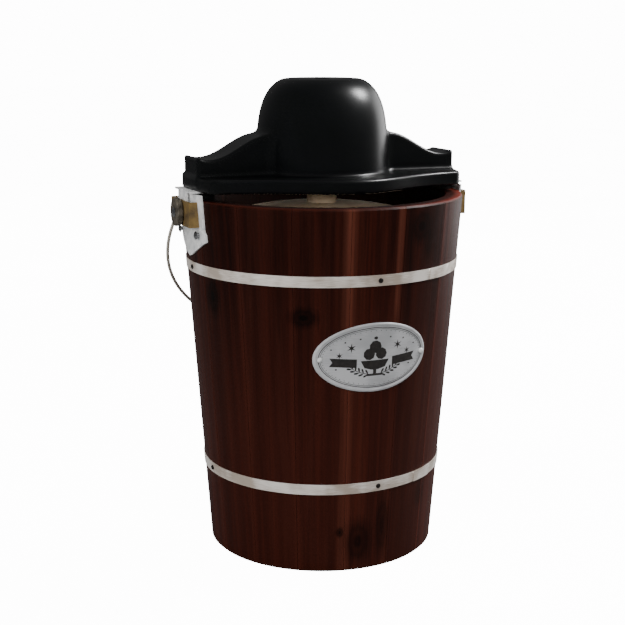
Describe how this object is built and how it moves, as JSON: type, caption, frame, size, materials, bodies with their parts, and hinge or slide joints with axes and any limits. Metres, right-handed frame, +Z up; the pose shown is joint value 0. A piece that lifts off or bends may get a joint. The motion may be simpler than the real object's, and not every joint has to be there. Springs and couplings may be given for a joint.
{
  "type": "electric ice cream maker",
  "caption": "Wooden stave bucket with steel bands and a swinging bail, a spinning canister with a fixed dasher, and a lift-off motor drive across the top.",
  "frame": {"origin": "centre of the bucket's foot, on the surface it stands on", "axes": "+Z up along the bucket, -Y towards the badge, X through the two ears, +X to the ear with the latch"},
  "size_m": [0.2824, 0.2684, 0.4285],
  "materials": {
    "stained_wood": "dark red stain under clear varnish",
    "floor_wood": "bare sawn pine",
    "band_steel": "satin zinc-plated strip",
    "badge_metal": "satin sheet with a dark print",
    "galvanised_steel": "galvanised, matt",
    "bronzed_steel": "dull yellow-brown passivated plate",
    "wire_steel": "drawn wire, satin",
    "grip_plastic": "moulded, satin",
    "canister_metal": "spun, satin",
    "white_plastic": "moulded, food-grade white",
    "lid_plastic": "smoky translucent, satin",
    "housing_plastic": "black, semi-gloss",
    "base_plastic": "black, matt",
    "steel": "plain steel",
    "dark_steel": "blackened",
    "pad_rubber": "soft black rubber",
    "bush_bronze": "sintered bronze",
    "gear_nylon": "acetal, satin",
    "core_steel": "stacked laminations",
    "winding_copper": "enamelled copper wire"
  },
  "bodies": {
    "bucket": {"bucket_staves": "stained_wood", "bucket_floor": "floor_wood", "canister_seat": "white_plastic", "seat_screws": "steel", "upper_band": "band_steel", "lower_band": "band_steel", "band_nails": "dark_steel", "badge": "badge_metal", "badge_pins": "galvanised_steel", "ear_plate_left": "galvanised_steel", "ear_plate_right": "galvanised_steel", "ear_pocket_left": "bronzed_steel", "ear_pocket_right": "bronzed_steel", "ear_screws": "steel", "bail_rivets": "steel", "latch_screw": "steel"},
    "bail": {"bail_wire": "wire_steel", "bail_eyes": "bronzed_steel", "bail_grip": "grip_plastic"},
    "latch": {"latch": "galvanised_steel"},
    "churn_can": {"canister": "canister_metal", "canister_pivot": "steel"},
    "dasher": {"dasher_frame": "white_plastic", "dasher_scrapers": "white_plastic", "dasher_stem": "white_plastic"},
    "lid": {"canister_lid": "lid_plastic", "lid_hub": "lid_plastic"},
    "drive_unit": {"housing_shell": "housing_plastic", "housing_base": "base_plastic", "housing_screws": "dark_steel", "mounting_tabs": "galvanised_steel", "tab_screws": "dark_steel", "support_pads": "pad_rubber", "cord_grommet": "pad_rubber", "gear_plate": "steel", "plate_screws": "dark_steel", "dasher_socket": "steel", "output_bush": "bush_bronze", "idler_pin": "steel", "motor_bracket": "steel", "motor_cap": "steel", "motor_bushes": "bush_bronze", "motor_spacers": "steel", "motor_bolts": "dark_steel", "stator": "core_steel", "windings": "winding_copper"},
    "output": {"output_gear": "gear_nylon"},
    "idler": {"idler_gear": "gear_nylon"},
    "armature": {"rotor": "core_steel", "motor_shaft": "steel", "motor_pinion": "steel", "cooling_fan": "base_plastic"}
  },
  "joints": [
    {"name": "bail_swing", "type": "hinge", "parent": "bucket", "child": "bail", "pos_m": [0, 0, 0.314], "axis": [1, 0, 0], "range_deg": [0, 267]},
    {"name": "latch_turn", "type": "hinge", "parent": "bucket", "child": "latch", "pos_m": [0.1285, 0.0324, 0.322], "axis": [1, 0, 0], "range_deg": [0, 90]},
    {"name": "canister_spin", "type": "hinge", "parent": "bucket", "child": "churn_can", "pos_m": [0, 0, 0], "axis": [0, 0, 1], "continuous": true},
    {"name": "dasher_lift", "type": "slide", "parent": "bucket", "child": "dasher", "axis": [0, 0, 1], "range_m": [0, 0.3]},
    {"name": "lid_spin", "type": "hinge", "parent": "dasher", "child": "lid", "pos_m": [0, 0, 0.3], "axis": [0, 0, 1], "continuous": true},
    {"name": "drive_lift", "type": "slide", "parent": "dasher", "child": "drive_unit", "axis": [0, 0, 1], "range_m": [0, 0.1]},
    {"name": "output_spin", "type": "hinge", "parent": "drive_unit", "child": "output", "pos_m": [0, 0, 0.34], "axis": [0, 0, 1], "continuous": true},
    {"name": "idler_spin", "type": "hinge", "parent": "drive_unit", "child": "idler", "pos_m": [0.03, 0, 0.35], "axis": [0, 0, 1], "continuous": true},
    {"name": "motor_spin", "type": "hinge", "parent": "drive_unit", "child": "armature", "pos_m": [0, 0, 0.39], "axis": [0, 0, 1], "continuous": true}
  ],
  "couplings": [
    {"joint": "lid_spin", "follows": "canister_spin", "ratio": 1},
    {"joint": "output_spin", "follows": "canister_spin", "ratio": 1},
    {"joint": "idler_spin", "follows": "canister_spin", "ratio": -4},
    {"joint": "motor_spin", "follows": "canister_spin", "ratio": 16}
  ]
}
